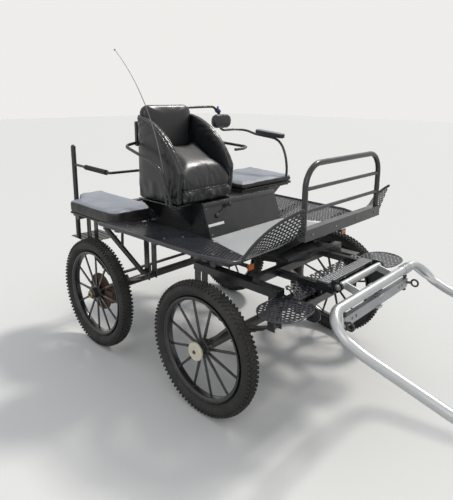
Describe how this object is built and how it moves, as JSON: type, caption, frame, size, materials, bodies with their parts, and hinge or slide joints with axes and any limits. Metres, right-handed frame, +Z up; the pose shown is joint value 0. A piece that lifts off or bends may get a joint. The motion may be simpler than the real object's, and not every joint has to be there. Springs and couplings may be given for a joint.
{
  "type": "four-wheeled horse-drawn carriage",
  "caption": "Open four-wheeled carriage for one horse, with a pair of shafts, turntable steering, a wedge driver's seat beside a flat passenger's pad, and benches behind.",
  "frame": {"origin": "on the ground, midway between the rear ends of the benches and the tips of the lowered shafts, on the middle line", "axes": "+X forward to the shafts' tips, +Y to the carriage's left, +Z up"},
  "size_m": [4.2669, 1.382, 1.8218],
  "materials": {
    "black_steel": "satin black paint, worn at the edges",
    "grey_plate": "light grey perforated plate, dusty",
    "wheel_paint": "black paint, dusty",
    "tyre_rubber": "matt knobbly rubber, dusty",
    "shaft_metal": "bare light metal, lightly scratched",
    "spring_steel": "dull dark spring steel",
    "axle_steel": "black paint with a little rust",
    "rusty_iron": "brown surface rust",
    "cream_plastic": "faded cream",
    "dull_brass": "dull",
    "black_leather": "smooth, softly shining",
    "grey_cover": "grey cover on top, black round the sides",
    "dark_wood": "black stained board",
    "grip_foam": "matt",
    "whip_rod": "pale thin rod",
    "reflector": "clear ribbed reflector",
    "swing_metal": "grey, satin"
  },
  "bodies": {
    "chassis": {"bench_boards": "dark_wood", "bench_pad_left": "grey_cover", "bench_pad_right": "grey_cover", "brake_calipers": "rusty_iron", "chassis_frame": "black_steel", "corner_posts": "black_steel", "dash_beam": "black_steel", "dash_rail": "black_steel", "driver_rails": "black_steel", "floor_panel": "grey_plate", "passenger_arm_pad": "black_leather", "passenger_back_pad": "black_leather", "passenger_board": "dark_wood", "passenger_pad": "grey_cover", "passenger_tube": "black_steel", "platform_braces": "black_steel", "platform_left": "black_steel", "platform_right": "black_steel", "rail_grips": "grip_foam", "rear_axle": "axle_steel", "rear_springs": "spring_steel", "rear_steps": "black_steel", "reflectors": "reflector", "seat_back": "black_leather", "seat_bolster_left": "black_leather", "seat_bolster_right": "black_leather", "seat_box": "black_steel", "seat_brackets": "black_steel", "seat_cushion": "black_leather", "spring_hangers_rear": "black_steel", "toe_board": "grey_plate", "turntable_upper": "black_steel", "whip": "whip_rod", "wing_left": "black_steel", "wing_right": "black_steel"},
    "wheel_front_right_body": {"tyre_front_right": "tyre_rubber", "wheel_front_right": "wheel_paint", "hub_cap_front_right": "cream_plastic"},
    "wheel_front_left_body": {"tyre_front_left": "tyre_rubber", "wheel_front_left": "wheel_paint", "hub_cap_front_left": "cream_plastic"},
    "wheel_rear_right_body": {"tyre_rear_right": "tyre_rubber", "wheel_rear_right": "wheel_paint", "hub_cap_rear_right": "dull_brass", "brake_disc_rear_right": "rusty_iron"},
    "wheel_rear_left_body": {"tyre_rear_left": "tyre_rubber", "wheel_rear_left": "wheel_paint", "hub_cap_rear_left": "dull_brass", "brake_disc_rear_left": "rusty_iron"},
    "undercarriage": {"front_axle": "axle_steel", "front_springs": "spring_steel", "spring_hangers_front": "black_steel", "undercarriage_frame": "black_steel", "front_steps": "black_steel"},
    "shafts": {"shaft_crossbar": "shaft_metal", "shaft_right": "shaft_metal", "shaft_left": "shaft_metal"},
    "swingletree_body": {"swingletree": "swing_metal", "trace_hooks": "black_steel"}
  },
  "joints": [
    {"name": "steering", "type": "hinge", "parent": "chassis", "child": "undercarriage", "pos_m": [-0.6415, 0, 0.71], "axis": [0, 0, 1], "range_deg": [-40, 40]},
    {"name": "front_right_spin", "type": "hinge", "parent": "undercarriage", "child": "wheel_front_right_body", "pos_m": [-0.6415, -0.61, 0.35], "axis": [0, 1, 0], "continuous": true},
    {"name": "front_left_spin", "type": "hinge", "parent": "undercarriage", "child": "wheel_front_left_body", "pos_m": [-0.6415, 0.61, 0.35], "axis": [0, 1, 0], "continuous": true},
    {"name": "rear_right_spin", "type": "hinge", "parent": "chassis", "child": "wheel_rear_right_body", "pos_m": [-1.6085, -0.61, 0.35], "axis": [0, 1, 0], "continuous": true},
    {"name": "rear_left_spin", "type": "hinge", "parent": "chassis", "child": "wheel_rear_left_body", "pos_m": [-1.6085, 0.61, 0.35], "axis": [0, 1, 0], "continuous": true},
    {"name": "shaft_lift", "type": "hinge", "parent": "undercarriage", "child": "shafts", "pos_m": [-0.1365, 0, 0.703], "axis": [0, -1, 0], "range_deg": [0, 80]},
    {"name": "swingletree_turn", "type": "hinge", "parent": "shafts", "child": "swingletree_body", "pos_m": [-0.0415, 0, 0.6], "axis": [0, 0, 1], "range_deg": [-20, 20]}
  ]
}
